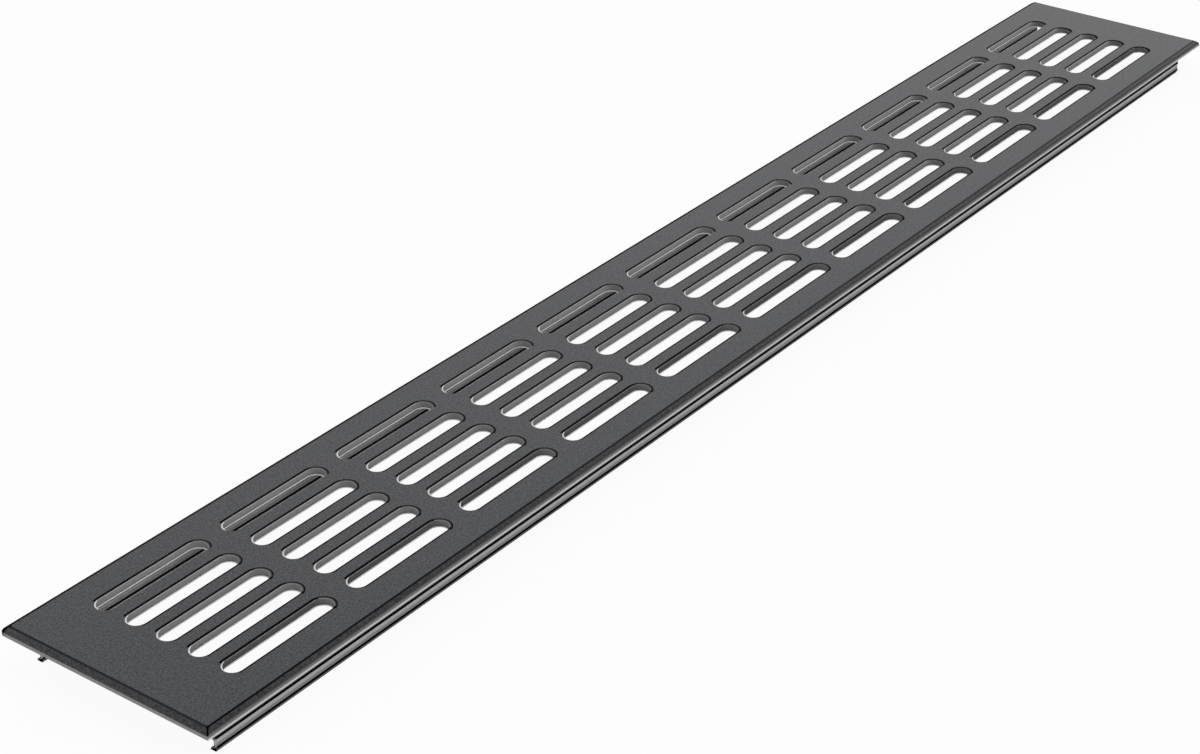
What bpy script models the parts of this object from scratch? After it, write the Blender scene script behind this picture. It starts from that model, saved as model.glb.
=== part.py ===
"""Door transfer grille: one aluminium extrusion with a slotted face and two clip legs.

X runs along the grille, Y across it and Z up. The origin is at the middle of the plane
of the feet, so the grille stands on its two legs with its face up.
"""
import math

import bmesh
import bpy

MM = 0.001

# Face plate
LENGTH = 570.0 * MM
WIDTH = 80.0 * MM
PLATE = 2.25 * MM
BEVEL = 2.0 * MM
BEVEL_SLOPE = math.radians(30)

# Slots, in rows along the grille: a middle one, and shorter ones to each side of it
SLOT_WIDTH = 6.75 * MM
SLOT_LENGTH = 40.3 * MM
MIDDLE_SLOT_LENGTH = 46.0 * MM
BRIDGE = 7.8 * MM
ROW_PITCH = 12.2 * MM
LEAST_END_MARGIN = 16.0 * MM
LEAST_LEG_MARGIN = 3.0 * MM
ARC_STEPS = 10

# Legs: two webs of one section, cut back at both ends of the plate
HEIGHT = 13.4 * MM
LEG_INSET = 6.5 * MM
LEG_END_CUT = 7.6 * MM
WEB = 0.75 * MM

# Catch, a barb part way down each web: how far its tips reach and their heights
CATCH_BACK_REACH = 0.27 * MM
CATCH_BACK_TIP = 4.35 * MM
CATCH_BACK_SLOPE = 0.3 * MM
CATCH_FRONT_REACH = 0.65 * MM
CATCH_FRONT_TIP = 3.65 * MM
CATCH_FRONT_SLOPE = 0.7 * MM
CATCH_FOOT = 3.3 * MM

# Hook, along the foot of each web
HOOK_BACK_REACH = 0.38 * MM
HOOK_BACK_TIP = 1.6 * MM
HOOK_BACK_SLOPE = 0.2 * MM
HOOK_FRONT_REACH = 1.42 * MM
HOOK_LIP = 0.5 * MM
HOOK_RISE = 1.0 * MM
FOOT_TAPER = 0.2 * MM

# How far cutters stand clear of the metal, so that no two faces lie in one plane
CLEAR = 1.0 * MM

COATING_COLOUR = (0.085, 0.086, 0.089, 1.0)
COATING_ROUGHNESS = 0.48

LEG_LINE = WIDTH / 2 - LEG_INSET


def add_prism(bm, outline, extrusion):
    """Add a closed prism: a flat outline, and the same outline moved by extrusion."""
    face = bm.faces.new([bm.verts.new(point) for point in outline])
    grown = bmesh.ops.extrude_face_region(bm, geom=[face])
    tops = [item for item in grown["geom"] if isinstance(item, bmesh.types.BMVert)]
    bmesh.ops.translate(bm, verts=tops, vec=extrusion)


def make_object(name, bm):
    """Turn a bmesh into an object with its faces pointing out."""
    bmesh.ops.recalc_face_normals(bm, faces=bm.faces)
    mesh = bpy.data.meshes.new(name)
    bm.to_mesh(mesh)
    bm.free()
    thing = bpy.data.objects.new(name, mesh)
    bpy.context.scene.collection.objects.link(thing)
    return thing


def rectangle(inset, z):
    """The corners of a rectangle that lies at an inset from the plate's outline."""
    x, y = LENGTH / 2 - inset, WIDTH / 2 - inset
    return [(x, y, z), (-x, y, z), (-x, -y, z), (x, -y, z)]


def face_plate():
    """The flat plate, with a bevel along all four edges of its face."""
    bm = bmesh.new()
    shoulder = HEIGHT - BEVEL * math.tan(BEVEL_SLOPE)
    levels = ((0.0, HEIGHT - PLATE), (0.0, shoulder), (BEVEL, HEIGHT))
    rings = [[bm.verts.new(point) for point in rectangle(*level)] for level in levels]
    for lower, upper in zip(rings, rings[1:]):
        for here in range(4):
            after = (here + 1) % 4
            bm.faces.new((lower[here], lower[after], upper[after], upper[here]))
    bm.faces.new(rings[0])
    bm.faces.new(rings[-1])
    return make_object("grille", bm)


def slot_outline(centre_x, centre_y, length, z):
    """An oblong with round ends, along X."""
    radius = SLOT_WIDTH / 2
    points = []
    for side in (1, -1):
        arc_x = centre_x + side * (length / 2 - radius)
        for step in range(ARC_STEPS + 1):
            turn = math.pi * (step / ARC_STEPS - 0.5)
            x = arc_x + side * radius * math.cos(turn)
            points.append((x, centre_y + side * radius * math.sin(turn), z))
    return points


def slot_places():
    """The X centre and length of each slot in a row."""
    places = [(0.0, MIDDLE_SLOT_LENGTH)]
    centre = MIDDLE_SLOT_LENGTH / 2 + BRIDGE + SLOT_LENGTH / 2
    while centre + SLOT_LENGTH / 2 <= LENGTH / 2 - LEAST_END_MARGIN:
        places += [(-centre, SLOT_LENGTH), (centre, SLOT_LENGTH)]
        centre += SLOT_LENGTH + BRIDGE
    return places


def row_places():
    """The Y centre of each row of slots, the rows being clear of the legs."""
    half = SLOT_WIDTH / 2 + LEAST_LEG_MARGIN + WEB / 2 + HOOK_FRONT_REACH
    rows_to_each_side = max(0, int((LEG_LINE - half) / ROW_PITCH))
    return [row * ROW_PITCH for row in range(-rows_to_each_side, rows_to_each_side + 1)]


def slot_cutter():
    """All the slots, as prisms that stand clear of both faces of the plate."""
    bm = bmesh.new()
    floor = HEIGHT - PLATE - CLEAR
    for y in row_places():
        for x, length in slot_places():
            add_prism(bm, slot_outline(x, y, length, floor), (0, 0, PLATE + 2 * CLEAR))
    return make_object("slot_cutter", bm)


def leg_section():
    """The section of a leg as (y, z), with y counted from the middle of its web.

    The front is the side to +Y. It has the larger barbs, on both legs.
    """
    side = WEB / 2
    root = HEIGHT - PLATE / 2
    back = [
        (-side, root),
        (-side, CATCH_BACK_TIP + CATCH_BACK_SLOPE),
        (-side - CATCH_BACK_REACH, CATCH_BACK_TIP),
        (-side, CATCH_FOOT),
        (-side, HOOK_BACK_TIP + HOOK_BACK_SLOPE),
        (-side - HOOK_BACK_REACH, HOOK_BACK_TIP),
        (-side + FOOT_TAPER, 0.0),
    ]
    front = [
        (side + HOOK_FRONT_REACH, 0.0),
        (side + HOOK_FRONT_REACH, HOOK_LIP),
        (side, HOOK_LIP + HOOK_RISE),
        (side, CATCH_FOOT),
        (side + CATCH_FRONT_REACH, CATCH_FRONT_TIP),
        (side, CATCH_FRONT_TIP + CATCH_FRONT_SLOPE),
        (side, root),
    ]
    return back + front


def legs():
    """Both legs. They start inside the plate, so that the union joins them to it."""
    bm = bmesh.new()
    end = LENGTH / 2 - LEG_END_CUT
    for line in (-LEG_LINE, LEG_LINE):
        outline = [(-end, line + y, z) for y, z in leg_section()]
        add_prism(bm, outline, (2 * end, 0, 0))
    return make_object("leg_extrusion", bm)


def combine(target, tool, operation):
    """Add a live Boolean, and keep its tool as a wire guide."""
    boolean = target.modifiers.new(tool.name, "BOOLEAN")
    boolean.operation = operation
    boolean.solver = "EXACT"
    boolean.object = tool
    tool.hide_render = True
    tool.display_type = "WIRE"


def coating():
    """Dark grey powder coating."""
    material = bpy.data.materials.new("coating")
    material.use_nodes = True
    shader = material.node_tree.nodes["Principled BSDF"]
    shader.inputs["Base Color"].default_value = COATING_COLOUR
    shader.inputs["Roughness"].default_value = COATING_ROUGHNESS
    shader.inputs["Metallic"].default_value = 0.0
    material.diffuse_color = COATING_COLOUR
    return material


def build():
    """Model the grille as one solid."""
    for old in list(bpy.data.objects):
        bpy.data.objects.remove(old)
    grille = face_plate()
    grille.data.materials.append(coating())
    combine(grille, legs(), "UNION")
    combine(grille, slot_cutter(), "DIFFERENCE")


build()
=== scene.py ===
"""The looks of the door transfer grille: coated extrusion, punched slots, clip legs."""
import math

import bmesh
import bpy
from mathutils import Euler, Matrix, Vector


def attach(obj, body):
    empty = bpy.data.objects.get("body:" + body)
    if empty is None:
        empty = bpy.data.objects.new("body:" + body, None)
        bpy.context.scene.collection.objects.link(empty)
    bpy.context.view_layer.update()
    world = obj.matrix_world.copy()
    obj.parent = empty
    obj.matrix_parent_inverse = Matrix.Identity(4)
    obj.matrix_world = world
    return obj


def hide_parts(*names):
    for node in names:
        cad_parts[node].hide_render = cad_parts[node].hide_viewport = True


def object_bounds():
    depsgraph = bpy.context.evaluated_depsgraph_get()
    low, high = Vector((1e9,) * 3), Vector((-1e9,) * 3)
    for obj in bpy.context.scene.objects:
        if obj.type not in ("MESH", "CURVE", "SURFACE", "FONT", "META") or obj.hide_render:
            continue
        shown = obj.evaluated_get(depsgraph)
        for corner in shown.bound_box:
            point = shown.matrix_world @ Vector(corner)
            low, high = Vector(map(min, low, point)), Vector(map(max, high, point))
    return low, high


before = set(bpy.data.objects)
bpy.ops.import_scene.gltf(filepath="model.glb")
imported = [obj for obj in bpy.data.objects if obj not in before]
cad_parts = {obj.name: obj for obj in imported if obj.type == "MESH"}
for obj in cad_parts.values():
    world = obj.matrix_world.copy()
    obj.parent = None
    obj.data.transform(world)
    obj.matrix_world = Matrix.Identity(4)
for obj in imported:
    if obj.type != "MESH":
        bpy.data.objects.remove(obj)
cad_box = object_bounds()

MM = 0.001

# Outside sizes come from the frame; the rest repeats the sizes of the solid
_, HIGH = cad_box
HALF_LENGTH = HIGH.x
HALF_WIDTH = HIGH.y
TOP = HIGH.z
PLATE = 2.25 * MM
UNDER = TOP - PLATE
BEVEL = 2.0 * MM
BEVEL_SLOPE = 30
BEVEL_DEPTH = BEVEL * math.tan(math.radians(BEVEL_SLOPE))

SLOT_WIDTH = 6.75 * MM
SLOT_LENGTH = 40.3 * MM
MIDDLE_SLOT_LENGTH = 46.0 * MM
BRIDGE = 7.8 * MM
ROW_PITCH = 12.2 * MM
ROWS_TO_EACH_SIDE = 2
SLOTS_TO_EACH_SIDE = 5

LEG_INSET = 6.5 * MM
LEG_END_CUT = 7.6 * MM
LEG_LINE = HALF_WIDTH - LEG_INSET
LEG_END = HALF_LENGTH - LEG_END_CUT
WEB = 0.75 * MM

CATCH_BACK_REACH = 0.27 * MM
CATCH_BACK_TIP = 4.35 * MM
CATCH_BACK_TOP = 4.65 * MM
CATCH_FRONT_REACH = 0.65 * MM
CATCH_FRONT_TIP = 3.65 * MM
CATCH_FRONT_TOP = 4.35 * MM
CATCH_FOOT = 3.3 * MM
HOOK_BACK_REACH = 0.38 * MM
HOOK_BACK_TIP = 1.6 * MM
HOOK_BACK_TOP = 1.8 * MM
HOOK_FRONT_REACH = 1.42 * MM
HOOK_FRONT_TOP = 1.5 * MM
HOOK_LIP = 0.5 * MM
FOOT_TAPER = 0.2 * MM

# Fine radii and edges, which the solid leaves sharp
CREASE_RADIUS = 1.2 * MM
LAND_RADIUS = 0.2 * MM
RIM_RADIUS = 0.15 * MM
CORNER_RADIUS = 2.0 * MM
SEAM_RADIUS = 0.4 * MM
EDGE_STEP = 0.12 * MM
ROOT_RADIUS = 0.3 * MM
TIP_RADIUS = 0.09 * MM
INNER_RADIUS = 0.12 * MM
FILLET_STEPS = 6
SEAM_STEPS = 4
LIP_STEPS = 3
SLOT_STEPS = 24

# Quarters of a ring round the plate, each a corner and the side after it. In turn their
# sides are the long one at +Y, the near end, the long one at -Y and the far end.
NEAR_END, NEAR_SIDE = 1, 2
HIDDEN_QUARTERS = (0, 3)

# Where the dark lines of painted shade along the bevel's crease lie, and how deep the painted
# shade goes at the near corner, where the end's and side's tones meet in a mitre
CREASE_LINE_INNER = 2.5 * MM
CREASE_LINE_OUTER = 1.85 * MM
HIDDEN_LINE_INNER = 2.2 * MM
MITRE_DEPTH = 1.05 * MM

# A slot's edge: two bands and a rim on the face, carrying a dark line of painted shade; a bead
# round its -X end and a ledge at its foot, both painted as highlights
BAND_OUTER = 1.04 * MM
BAND_MIDDLE = 0.6 * MM
BAND_INNER = 0.16 * MM
LIP_RADIUS = 0.08 * MM
BEAD_REACH = 0.35 * MM
BEAD_DEPTH = 0.08 * MM
BEAD_ARC = math.radians(110)
FOOT_OF_WALL = 1.75 * MM
LEDGE_DEPTH = 2.0 * MM
LEDGE_REACH = 0.2 * MM
FRONT_LEDGE_REACH = 0.32 * MM
BACK_EDGE_REACH = 0.12 * MM
LEDGE_RISE = 0.02 * MM

# Where the painted light and shade change round a slot, as parts of its outward direction
BEAD_SEEN = 0.3
LIT_FROM = 0.3
FAR_END_FROM = 0.5
LINE_FROM = 0.2
LINE_TO_NEAR_END = -0.4
NEAR_SIDE_FROM = -0.8

# Where the painted light and shade change down the back of a leg, and by how much of the drop the
# painted shade over the catch moves
WEB_HIGHLIGHT_TOP = 5.8 * MM
WEB_HIGHLIGHT_BOTTOM = 5.5 * MM
SHADE_TOP = 4.84 * MM
SHADE_DROP = 1.15
CATCH_LIGHT_IN = 0.195 * MM
CATCH_LIGHT_TOP = 4.06 * MM
LOWER_WEB_TOP = 2.77 * MM
FOOT_LIGHT_IN = 0.155 * MM
FOOT_LIGHT_TOP = 0.98 * MM
FRONT_LEG_DROP = 0.42 * MM

# The parts of a leg's end painted light: its web below the catch, and above it
CAP_REACH = 0.45 * MM
CAP_LOW = 1.7 * MM
CAP_HIGH = 3.4 * MM
CAP_TOP = 4.7 * MM

SHARP_ANGLE = math.radians(50)

# How light each surface is drawn: the coating's own colour, and painted light and shade in it; a
# pair fades from the near end to the far end, painting how reflection and shade change along the
# grille
# Black painted shade: dark lines at corners, over and under each catch, on the barbs' faces and
# on the legs' ends
PAINTED_SHADE = 0.004
# Painted shade: a dark line round each slot's edge on the face
SLOT_SHADE_LINE = (0.004, 0.022)
COAT = 0.045
# Painted shade: the bevel a little darker than the face, dark lines along the crease, and a dark
# line on the bevels facing away
BEVEL_TONE = 0.040
BEVEL_SHADE_LINE = 0.018
CREASE_SHADE_AT_END = 0.032
CREASE_SHADE = (0.006, 0.075)
# Painted light: down the sides and ends the bevel turns lighter towards the land, with a painted
# highlight at its foot
SIDE_LIGHT_TONES = ((0.70, BEVEL_TONE), (0.84, 0.085), (0.95, 0.125), (1.06, 0.19), (1.25, 0.25),
              (1.5, 0.31), (1.7, 0.62), (1.83, 0.95), (2.0, 0.8))
END_LIGHT_TONES = ((1.03, BEVEL_TONE), (1.13, 0.33))
# Painted light on the slots' walls, with painted shade at their +X ends, at their feet and in the
# row nearest to -Y
LIT_WALL = (0.40, 0.46)
WALL_LIGHT_AT_FAR_END = (0.31, 0.16)
# Painted shade round each slot's +X end: a dark arc that deepens towards the grille's far end
RIM_SHADE_AT_FAR_END = (0.40, 0.0)
BAND_SHADE_AT_FAR_END = (0.10, 0.0)
SHADE_LINE_AT_FAR_END = (0.010, 0.0)
SHADED_WALL_OF_LAST_ROW = 0.20
SHADED_WALL_FOOT = (0.16, 0.10)
SHADED_FOOT_OF_LAST_ROW = 0.08
# Painted highlights: a light crescent on the bead round each slot's -X end, and a light line on
# the ledge at each wall's foot
BEAD_HIGHLIGHT = 0.85
LEDGE_HIGHLIGHT = 1.0
# Painted light on the legs: their webs, catches, feet and ends are drawn far lighter than the
# coating
LIT_WEB = 0.30
# Painted highlight: a bright band on the flat web just under the plate
WEB_HIGHLIGHT = 1.0
# Painted light: the +Y leg's tones are scaled up to draw it lighter
FRONT_LEG_LIGHTENING = 1.9
LIT_CATCH = 0.66
LIT_LOWER_WEB = 0.40
LIT_FOOT = 0.26
LIT_CAP = 0.7

# The two looks of the coating
COAT_SLOT, MATT_SLOT = 0, 1
COAT_TINT = (0.94, 1.0, 1.12)
COAT_GRAIN = (0.1, 1.9)
COAT_ROUGHNESS = 0.22
COAT_IOR = 1.66
BUMP_STRENGTH = 0.2
BUMP_HEIGHT = 0.08 * MM
MATT_TINT = (1, 1, 1)
MATT_GRAIN = (0.9, 1.1)
MATT_ROUGHNESS = 0.6
NOISE = {"Scale": 1500, "Detail": 2, "Roughness": 0.9}
NOISE_SPAN = (0.35, 0.65)

# The studio
FLOOR_SIZE = 60
FLOOR_GAP = 0.1 * MM
FLOOR_COLOUR = (0.92, 0.92, 0.92, 1)
FLOOR_WHITENESS = 0.94
FADE_FROM, FADE_TO = 0.35, 0.95
WALLS_STRENGTH, CEILING_STRENGTH = 1.0, 0.15
LIGHT_SIZE = 1.2
LIGHT_HEIGHT = 2.0
LIGHT_POWER = 13.8

# The camera, fitted to the photograph
SENSOR_WIDTH = 36.0
LENS = 75.3608
SHIFT_X = -0.10658
SHIFT_Y = -0.07301
NEAREST = 0.01
CAMERA_PLACE = (-0.62556, -0.44473, 0.39933 + TOP)
CAMERA_TILT = 62.0964
CAMERA_TURN = -54.5900


def arc(start, end, steps=FILLET_STEPS):
    """Angles from start to end, in degrees, as radians."""
    return [math.radians(start + (end - start) * step / steps) for step in range(steps + 1)]


def paint(bm, face, tone, slot=MATT_SLOT):
    """Give a face its tone, or the pair it fades between from -X to +X, and its coating; the
    tones hold painted light and shade as well as colour.
    """
    near, far = tone if isinstance(tone, tuple) else (tone, tone)
    layer = bm.loops.layers.float["tone"]
    for loop in face.loops:
        share = (loop.vert.co.x / HALF_LENGTH + 1) / 2
        loop[layer] = near + (far - near) * share
    face.material_index = slot


def rectangle(inset, z):
    """A ring round the plate at an inset from its outline; the corner by the eye is sharper."""
    points = []
    for quarter, (side_x, side_y) in enumerate(((1, 1), (-1, 1), (-1, -1), (1, -1))):
        radius = SEAM_RADIUS
        if quarter != NEAR_SIDE:
            radius = max(SEAM_RADIUS, CORNER_RADIUS - inset)
        x = side_x * (HALF_LENGTH - inset - radius)
        y = side_y * (HALF_WIDTH - inset - radius)
        for turn in arc(90 * quarter, 90 * quarter + 90, SEAM_STEPS):
            points.append((x + radius * math.cos(turn), y + radius * math.sin(turn), z))
    return points


def bead_share(turn):
    """How much of its reach the bead has at a turn: it fades in and out round the -X end."""
    into_arc = (turn - math.pi / 2) / BEAD_ARC
    return math.sin(math.pi * into_arc) if 0 < into_arc < 1 else 0.0


def oblong(centre_x, centre_y, length, grow, z, bead=0.0):
    """A ring round a slot, grown outwards from its wall, apart from the bead."""
    reach = (length - SLOT_WIDTH) / 2
    points = []
    for side, start in ((1, -90), (-1, 90)):
        for turn in arc(start, start + 180, SLOT_STEPS):
            radius = SLOT_WIDTH / 2 + grow - bead * bead_share(turn)
            radius += BACK_EDGE_REACH * min(0.0, math.sin(turn))
            x = centre_x + side * reach + radius * math.cos(turn)
            points.append((x, centre_y + radius * math.sin(turn), z))
    return points


def fillet(inset, z, radius, start, end):
    """Points (inset, z) of a convex fillet whose normal turns from start to end, 0 being up."""
    return [(inset - radius * math.sin(a), z + radius * math.cos(a)) for a in arc(start, end)]


def lean(radius, turned):
    """How far a fillet of a corner that turns by some degrees starts before the corner."""
    return radius * math.tan(math.radians(turned / 2))


def subdivided(profile):
    """A profile with points added on its long stretches."""
    points = [profile[0]]
    for start, end in zip(profile, profile[1:]):
        parts = math.ceil(math.dist(start, end) / EDGE_STEP)
        for part in range(1, parts + 1):
            points.append(tuple(a + (b - a) * part / parts for a, b in zip(start, end)))
    return points


def edge_profile():
    """The plate's edge from its face to its underside, as (inset, z)."""
    shoulder = TOP - BEVEL_DEPTH
    crease_inset = BEVEL + lean(CREASE_RADIUS, BEVEL_SLOPE)
    crease = fillet(crease_inset, TOP - CREASE_RADIUS, CREASE_RADIUS, 0, BEVEL_SLOPE)
    land_z = shoulder - lean(LAND_RADIUS, 90 - BEVEL_SLOPE)
    land = fillet(LAND_RADIUS, land_z, LAND_RADIUS, BEVEL_SLOPE, 90)
    rim = fillet(RIM_RADIUS, UNDER + RIM_RADIUS, RIM_RADIUS, 90, 180)
    return subdivided([(CREASE_LINE_INNER, TOP)] + crease + land + rim)


def tone_at(depth, tones):
    """The tone at a depth, between the stops given as (depth in mm, tone)."""
    depth /= MM
    for (above, upper), (below, lower) in zip(tones, tones[1:]):
        if depth < below:
            share = max(0.0, (depth - above) / (below - above))
            return upper + (lower - upper) * share
    return tones[-1][1]


def loft(bm, rings):
    """Faces between closed rings of points, as rows; and the first and last ring's vertices."""
    rows = [[bm.verts.new(point) for point in ring] for ring in rings]
    faces = []
    for upper, lower in zip(rows, rows[1:]):
        count = len(upper)
        faces.append([])
        for here in range(count):
            after = (here + 1) % count
            faces[-1].append(bm.faces.new((upper[here], upper[after], lower[after], lower[here])))
    return faces, rows[0], rows[-1]


def edge_tone(inset, depth, quarter):
    """The tone of the plate's edge along the side of a quarter: painted shade in the crease and
    on the bevels facing away, painted light lower down towards the land.
    """
    if quarter in HIDDEN_QUARTERS and depth < BEVEL_DEPTH:
        return BEVEL_TONE if inset > HIDDEN_LINE_INNER else BEVEL_SHADE_LINE
    if inset > CREASE_LINE_OUTER:
        return CREASE_SHADE_AT_END if quarter % 2 else CREASE_SHADE
    if quarter % 2:
        return tone_at(depth, END_LIGHT_TONES)
    return tone_at(depth, SIDE_LIGHT_TONES)


def corner_tone(inset, depth, quarter, step):
    """The tone at a step round a quarter's corner: a dark seam of painted shade, or by the eye
    painted shade at the top, then a short mitre where the end's and the side's tones meet.
    """
    if quarter == NEAR_SIDE:
        if depth < MITRE_DEPTH:
            return PAINTED_SHADE
        return edge_tone(inset, depth, NEAR_END if step < SEAM_STEPS / 2 else NEAR_SIDE)
    return PAINTED_SHADE if quarter % 2 else edge_tone(inset, depth, quarter)


def add_edge(bm):
    """The plate's bevelled edge; returns the loops where it meets the face and the underside."""
    profile = edge_profile()
    rows, face, under = loft(bm, [rectangle(*level) for level in profile])
    for start, end, row in zip(profile, profile[1:], rows):
        inset, z = ((a + b) / 2 for a, b in zip(start, end))
        for place, quad in enumerate(row):
            quarter, step = divmod(place, SEAM_STEPS + 1)
            if step < SEAM_STEPS:
                tone = corner_tone(inset, TOP - z, quarter, step)
            else:
                tone = edge_tone(inset, TOP - z, quarter)
            paint(bm, quad, tone, COAT_SLOT if tone == BEVEL_TONE else MATT_SLOT)
    return face, under


def slot_levels(ledge):
    """A slot's rings from the face to the underside, as (grow, z, bead, what lies below it)."""
    levels = [(BAND_OUTER, TOP, 0, "outer"), (BAND_MIDDLE, TOP, 0, "inner"),
              (BAND_INNER, TOP, 0, "rim")]
    for turn in arc(0, 90, LIP_STEPS)[:-1]:
        grow = LIP_RADIUS * (1 - math.sin(turn))
        levels.append((grow, TOP - LIP_RADIUS * (1 - math.cos(turn)), 0, "lip"))
    levels += [
        (0, TOP - LIP_RADIUS, BEAD_REACH, "bead"),
        (0, TOP - LIP_RADIUS - BEAD_DEPTH, BEAD_REACH, "wall"),
        (0, TOP - LIP_RADIUS - 3 * BEAD_DEPTH, 0, "wall"),
        (0, TOP - FOOT_OF_WALL, 0, "foot"),
        (0, TOP - LEDGE_DEPTH, 0, "ledge"),
        (-ledge, TOP - LEDGE_DEPTH - LEDGE_RISE, 0, "ledge"),
        (-ledge, UNDER, 0, None),
    ]
    return levels


def wall_tone(outward_x, row):
    """The tone of a slot's wall: painted light, with painted shade at its +X end and in the row
    nearest to -Y.
    """
    share = max(0.0, outward_x)
    tones = (SHADED_WALL_OF_LAST_ROW,) * 2 if row == -ROWS_TO_EACH_SIDE else LIT_WALL
    return tuple(tone + (end - tone) * share for tone, end in zip(tones, WALL_LIGHT_AT_FAR_END))


def slot_tone(kind, outward_x, outward_y, row):
    """The tone of a part of a slot's edge that lies in this outward direction from its middle:
    painted light on walls, bead and ledge, painted shade in the lines round it.
    """
    if kind == "ledge":
        return LEDGE_HIGHLIGHT
    if kind == "bead":
        return BEAD_HIGHLIGHT if outward_x < LIT_FROM else wall_tone(outward_x, row)
    if kind in ("lip", "rim") and outward_x > FAR_END_FROM:
        return RIM_SHADE_AT_FAR_END
    last_row = row == -ROWS_TO_EACH_SIDE
    lit_kind = kind == "lip" or kind == "rim" and not last_row
    if kind == "wall" or lit_kind and max(outward_x, outward_y) > LIT_FROM:
        return wall_tone(outward_x, row)
    if kind == "foot":
        return SHADED_FOOT_OF_LAST_ROW if last_row else SHADED_WALL_FOOT
    if row == ROWS_TO_EACH_SIDE and outward_y < NEAR_SIDE_FROM:
        return COAT
    if outward_x > FAR_END_FROM:
        return SHADE_LINE_AT_FAR_END if kind == "outer" else BAND_SHADE_AT_FAR_END
    if kind == "outer" and max(outward_x, outward_y) <= LINE_FROM:
        return COAT
    return SLOT_SHADE_LINE if outward_x > LINE_TO_NEAR_END else COAT


def add_slot(bm, x, y, length):
    """One slot's edge and wall; returns the loops where they meet the face and the underside."""
    row = round(y / ROW_PITCH)
    levels = slot_levels(FRONT_LEDGE_REACH if row == ROWS_TO_EACH_SIDE else LEDGE_REACH)
    rows, face, under = loft(bm, [oblong(x, y, length, *level[:3]) for level in levels])
    for (_, _, bead, kind), ring in zip(levels, rows):
        for place, quad in enumerate(ring):
            end, step = divmod(place, SLOT_STEPS + 1)
            turn = math.pi * (end - 0.5 + min((step + 0.5) / SLOT_STEPS, 1.0))
            if kind == "lip" and bead_share(turn) > BEAD_SEEN:
                tone = BEAD_HIGHLIGHT
            else:
                tone = slot_tone(kind, math.cos(turn), math.sin(turn), row)
            paint(bm, quad, tone, COAT_SLOT if tone == COAT else MATT_SLOT)
    return face, under


def loop_edges(bm, verts):
    """The edges that join a closed ring of vertices, made where they are missing."""
    edges = []
    for here, vert in enumerate(verts):
        after = verts[(here + 1) % len(verts)]
        edges.append(bm.edges.get((vert, after)) or bm.edges.new((vert, after)))
    return edges


def slot_places():
    """The centre and length of each slot."""
    step = SLOT_LENGTH + BRIDGE
    first = (MIDDLE_SLOT_LENGTH + SLOT_LENGTH) / 2 + BRIDGE
    places = []
    for row in range(-ROWS_TO_EACH_SIDE, ROWS_TO_EACH_SIDE + 1):
        y = row * ROW_PITCH
        places.append((0.0, y, MIDDLE_SLOT_LENGTH))
        for turn in range(SLOTS_TO_EACH_SIDE):
            x = first + turn * step
            places += [(x, y, SLOT_LENGTH), (-x, y, SLOT_LENGTH)]
    return places


def rounded(corners):
    """An open outline whose corners (y, z, radius, arc tone, next tone) become arcs.

    Returns its points, and the tone of each stretch between two of them.
    """
    points, tones = [], []
    for index, (y, z, radius, arc_tone, next_tone) in enumerate(corners):
        if radius == 0:
            points.append((y, z))
            tones.append(next_tone)
            continue
        before, after = corners[index - 1], corners[index + 1]
        back = math.atan2(before[1] - z, before[0] - y)
        ahead = math.atan2(after[1] - z, after[0] - y)
        opening = (ahead - back + math.pi) % (2 * math.pi) - math.pi
        half = abs(opening) / 2
        middle = back + opening / 2
        centre_y = y + radius / math.sin(half) * math.cos(middle)
        centre_z = z + radius / math.sin(half) * math.sin(middle)
        turned = math.pi - abs(opening)
        sign = 1 if opening > 0 else -1
        for step in range(FILLET_STEPS + 1):
            a = middle + math.pi + sign * turned * (0.5 - step / FILLET_STEPS)
            points.append((centre_y + radius * math.cos(a), centre_z + radius * math.sin(a)))
        tones += [arc_tone] * FILLET_STEPS + [next_tone]
    return points, tones[:-1]


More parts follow.
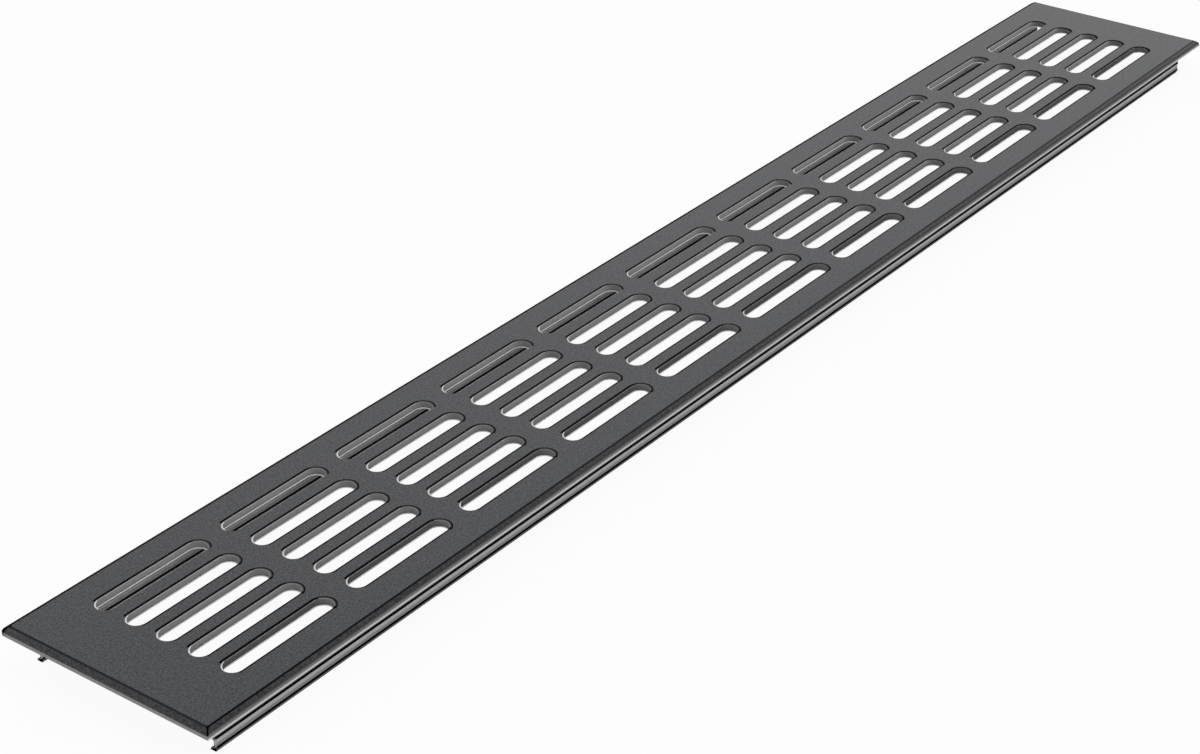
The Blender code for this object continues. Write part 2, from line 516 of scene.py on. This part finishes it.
def leg_profile(drop):
    """A leg's section as (y, z) from its back root to its front root, y from mid web.

    The catch on its back is lowered by the drop. Its tones paint light on the web, catch and
    foot, and shade on the barbs and over the catch.
    """
    side = WEB / 2
    root = 2 * ROOT_RADIUS
    return rounded([
        (-side - root, UNDER, 0, COAT, COAT),
        (-side, UNDER, ROOT_RADIUS, LIT_WEB, LIT_WEB),
        (-side, WEB_HIGHLIGHT_TOP, 0, WEB_HIGHLIGHT, WEB_HIGHLIGHT),
        (-side, WEB_HIGHLIGHT_BOTTOM, 0, LIT_WEB, LIT_WEB),
        (-side, SHADE_TOP - SHADE_DROP * drop, 0, PAINTED_SHADE, PAINTED_SHADE),
        (-side, CATCH_BACK_TOP - drop, INNER_RADIUS, PAINTED_SHADE, PAINTED_SHADE),
        (-side - CATCH_BACK_REACH, CATCH_BACK_TIP - drop, TIP_RADIUS, PAINTED_SHADE, PAINTED_SHADE),
        (-side - CATCH_LIGHT_IN, CATCH_LIGHT_TOP - drop, 0, LIT_CATCH, LIT_CATCH),
        (-side, CATCH_FOOT - drop, INNER_RADIUS, LIT_CATCH, LIT_CATCH),
        (-side, LOWER_WEB_TOP, 0, LIT_WEB, LIT_LOWER_WEB),
        (-side, HOOK_BACK_TOP, INNER_RADIUS, LIT_WEB, PAINTED_SHADE),
        (-side - HOOK_BACK_REACH, HOOK_BACK_TIP, TIP_RADIUS, PAINTED_SHADE, PAINTED_SHADE),
        (-side - FOOT_LIGHT_IN, FOOT_LIGHT_TOP, 0, LIT_FOOT, LIT_FOOT),
        (-side + FOOT_TAPER, 0, TIP_RADIUS, LIT_FOOT, COAT),
        (side + HOOK_FRONT_REACH, 0, INNER_RADIUS, COAT, COAT),
        (side + HOOK_FRONT_REACH, HOOK_LIP, INNER_RADIUS, PAINTED_SHADE, PAINTED_SHADE),
        (side, HOOK_FRONT_TOP, INNER_RADIUS, PAINTED_SHADE, LIT_WEB),
        (side, CATCH_FOOT, INNER_RADIUS, LIT_WEB, LIT_WEB),
        (side + CATCH_FRONT_REACH, CATCH_FRONT_TIP, TIP_RADIUS, PAINTED_SHADE, PAINTED_SHADE),
        (side, CATCH_FRONT_TOP, INNER_RADIUS, PAINTED_SHADE, LIT_WEB),
        (side, UNDER, ROOT_RADIUS, LIT_WEB, COAT),
        (side + root, UNDER, 0, COAT, COAT),
    ])


def add_cap(bm, verts, line):
    """An end of a leg, with painted light on its web and painted shade on its barbs."""
    cap = bm.faces.new(verts)
    paint(bm, cap, PAINTED_SHADE)
    layer = bm.loops.layers.float["tone"]
    for loop in cap.loops:
        y, z = loop.vert.co.yz
        if abs(y - line) < CAP_REACH and (CAP_LOW < z < CAP_HIGH or z > CAP_TOP):
            loop[layer] = LIT_CAP


def add_leg(bm, line, share, drop):
    """A leg as a strip along X with two end caps, its tones scaled by the share to paint it
    lighter; returns the loop where it meets the plate.
    """
    profile, tones = leg_profile(drop)
    near = [bm.verts.new((-LEG_END, line + y, z)) for y, z in profile]
    far = [bm.verts.new((LEG_END, line + y, z)) for y, z in profile]
    for here, tone in enumerate(tones):
        strip = bm.faces.new((near[here], near[here + 1], far[here + 1], far[here]))
        paint(bm, strip, min(1.0, tone * share))
    add_cap(bm, near, line)
    add_cap(bm, list(reversed(far)), line)
    return [near[0], near[-1], far[-1], far[0]]


def fill(bm, loops):
    """Triangles over the flat face that lies between closed loops."""
    edges = [edge for loop in loops for edge in loop_edges(bm, loop)]
    filled = bmesh.ops.triangle_fill(bm, edges=edges, use_beauty=True, use_dissolve=False)
    for item in filled["geom"]:
        if isinstance(item, bmesh.types.BMFace):
            paint(bm, item, COAT, COAT_SLOT)


def grille_mesh():
    """The whole grille as one closed mesh."""
    bm = bmesh.new()
    bm.loops.layers.float.new("tone")
    face, under = add_edge(bm)
    face_loops, under_loops = [face], [under]
    for x, y, length in slot_places():
        upper, lower = add_slot(bm, x, y, length)
        face_loops.append(upper)
        under_loops.append(lower)
    under_loops.append(add_leg(bm, -LEG_LINE, 1.0, 0.0))
    under_loops.append(add_leg(bm, LEG_LINE, FRONT_LEG_LIGHTENING, FRONT_LEG_DROP))
    fill(bm, face_loops)
    fill(bm, under_loops)
    bmesh.ops.recalc_face_normals(bm, faces=bm.faces)
    mesh = bpy.data.meshes.new("grille_surface")
    bm.to_mesh(mesh)
    bm.free()
    mesh.shade_smooth()
    mesh.set_sharp_from_angle(angle=SHARP_ANGLE)
    return mesh


def set_span(node, span, target):
    """Make a map range node turn one span of values into another."""
    for side, value in (("From", span), ("To", target)):
        node.inputs[side + " Min"].default_value = value[0]
        node.inputs[side + " Max"].default_value = value[1]


def toned(name, tint, grain_span):
    """A coating with a fine grain, whose lightness is each face's tone: its colour and the light
    and shade painted in it.
    """
    material = bpy.data.materials.new(name)
    material.use_nodes = True
    nodes, links = material.node_tree.nodes, material.node_tree.links
    shader = nodes["Principled BSDF"]
    place = nodes.new("ShaderNodeTexCoord")
    grain = nodes.new("ShaderNodeTexNoise")
    for setting, value in NOISE.items():
        grain.inputs[setting].default_value = value
    links.new(place.outputs["Object"], grain.inputs["Vector"])
    speckle = nodes.new("ShaderNodeMapRange")
    set_span(speckle, NOISE_SPAN, grain_span)
    links.new(grain.outputs["Fac"], speckle.inputs["Value"])
    tone = nodes.new("ShaderNodeAttribute")
    tone.attribute_name = "tone"
    amount = nodes.new("ShaderNodeMath")
    amount.operation = "MULTIPLY"
    links.new(tone.outputs["Fac"], amount.inputs[0])
    links.new(speckle.outputs["Result"], amount.inputs[1])
    colour = nodes.new("ShaderNodeVectorMath")
    colour.operation = "SCALE"
    colour.inputs[0].default_value = tint
    links.new(amount.outputs[0], colour.inputs["Scale"])
    links.new(colour.outputs[0], shader.inputs["Base Color"])
    return material, shader, grain


def coating():
    """The powder coating on the face, with a soft sheen and a fine texture."""
    material, shader, grain = toned("coating", COAT_TINT, COAT_GRAIN)
    shader.inputs["Roughness"].default_value = COAT_ROUGHNESS
    shader.inputs["IOR"].default_value = COAT_IOR
    nodes, links = material.node_tree.nodes, material.node_tree.links
    bump = nodes.new("ShaderNodeBump")
    bump.inputs["Strength"].default_value = BUMP_STRENGTH
    bump.inputs["Distance"].default_value = BUMP_HEIGHT
    links.new(grain.outputs["Fac"], bump.inputs["Height"])
    links.new(bump.outputs["Normal"], shader.inputs["Normal"])
    return material


def matt_coating():
    """The coating on edges, walls and legs, drawn without sheen and with hardly any texture; most
    of the painted light and shade lies on it.
    """
    material, shader, _ = toned("matt_coating", MATT_TINT, MATT_GRAIN)
    shader.inputs["Roughness"].default_value = MATT_ROUGHNESS
    shader.inputs["Specular IOR Level"].default_value = 0.0
    return material


def make_grille():
    """The visible grille, in place of the plain solid."""
    mesh = grille_mesh()
    grille = bpy.data.objects.new("coated_grille", mesh)
    bpy.context.scene.collection.objects.link(grille)
    mesh.materials.append(coating())
    mesh.materials.append(matt_coating())
    weigh = grille.modifiers.new("flat_faces_stay_flat", "WEIGHTED_NORMAL")
    weigh.keep_sharp = True
    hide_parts("grille")
    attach(grille, "root")


def seen_white(nodes, links, shaded, amount):
    """Mix a shader with plain white for the rays that see it straight or in a reflection."""
    path = nodes.new("ShaderNodeLightPath")
    seen = path.outputs["Is Camera Ray"]
    for other in ("Is Glossy Ray", "Is Transmission Ray"):
        either = nodes.new("ShaderNodeMath")
        either.operation = "MAXIMUM"
        links.new(seen, either.inputs[0])
        links.new(path.outputs[other], either.inputs[1])
        seen = either.outputs[0]
    part = nodes.new("ShaderNodeMath")
    part.operation = "MULTIPLY"
    part.inputs[1].default_value = amount
    links.new(seen, part.inputs[0])
    white = nodes.new("ShaderNodeEmission")
    mix = nodes.new("ShaderNodeMixShader")
    links.new(part.outputs[0], mix.inputs[0])
    links.new(shaded, mix.inputs[1])
    links.new(white.outputs[0], mix.inputs[2])
    return mix.outputs[0]


def make_floor():
    """A pale floor that looks white and keeps the grille's shadow."""
    bpy.ops.mesh.primitive_plane_add(size=FLOOR_SIZE, location=(0, 0, -FLOOR_GAP))
    floor = bpy.context.object
    floor.name = "floor"
    material = bpy.data.materials.new("pale_floor")
    material.use_nodes = True
    nodes, links = material.node_tree.nodes, material.node_tree.links
    nodes.clear()
    diffuse = nodes.new("ShaderNodeBsdfDiffuse")
    diffuse.inputs["Color"].default_value = FLOOR_COLOUR
    output = nodes.new("ShaderNodeOutputMaterial")
    whitened = seen_white(nodes, links, diffuse.outputs[0], FLOOR_WHITENESS)
    links.new(whitened, output.inputs["Surface"])
    floor.data.materials.append(material)


def make_world():
    """A studio whose walls are white and whose ceiling is dimmer."""
    world = bpy.data.worlds.new("studio")
    bpy.context.scene.world = world
    world.use_nodes = True
    nodes, links = world.node_tree.nodes, world.node_tree.links
    nodes.clear()
    place = nodes.new("ShaderNodeTexCoord")
    split = nodes.new("ShaderNodeSeparateXYZ")
    links.new(place.outputs["Generated"], split.inputs[0])
    fade = nodes.new("ShaderNodeMapRange")
    fade.interpolation_type = "SMOOTHSTEP"
    set_span(fade, (FADE_FROM, FADE_TO), (WALLS_STRENGTH, CEILING_STRENGTH))
    links.new(split.outputs["Z"], fade.inputs["Value"])
    sky = nodes.new("ShaderNodeBackground")
    links.new(fade.outputs["Result"], sky.inputs["Strength"])
    output = nodes.new("ShaderNodeOutputWorld")
    links.new(sky.outputs[0], output.inputs["Surface"])


def make_light():
    """One large soft light straight overhead."""
    data = bpy.data.lights.new("overhead", "AREA")
    data.shape = "SQUARE"
    data.size = LIGHT_SIZE
    data.energy = LIGHT_POWER
    light = bpy.data.objects.new("overhead", data)
    light.location = (0, 0, LIGHT_HEIGHT)
    bpy.context.scene.collection.objects.link(light)


def make_camera():
    """The photograph's view, which is a cropped one: hence the shift."""
    data = bpy.data.cameras.new("camera")
    data.sensor_width = SENSOR_WIDTH
    data.lens = LENS
    data.shift_x = SHIFT_X
    data.shift_y = SHIFT_Y
    data.clip_start = NEAREST
    camera = bpy.data.objects.new("camera", data)
    camera.location = CAMERA_PLACE
    camera.rotation_euler = Euler((math.radians(CAMERA_TILT), 0, math.radians(CAMERA_TURN)))
    bpy.context.scene.collection.objects.link(camera)
    bpy.context.scene.camera = camera


make_grille()
make_floor()
make_world()
make_light()
make_camera()
bpy.context.scene.view_settings.view_transform = "Standard"
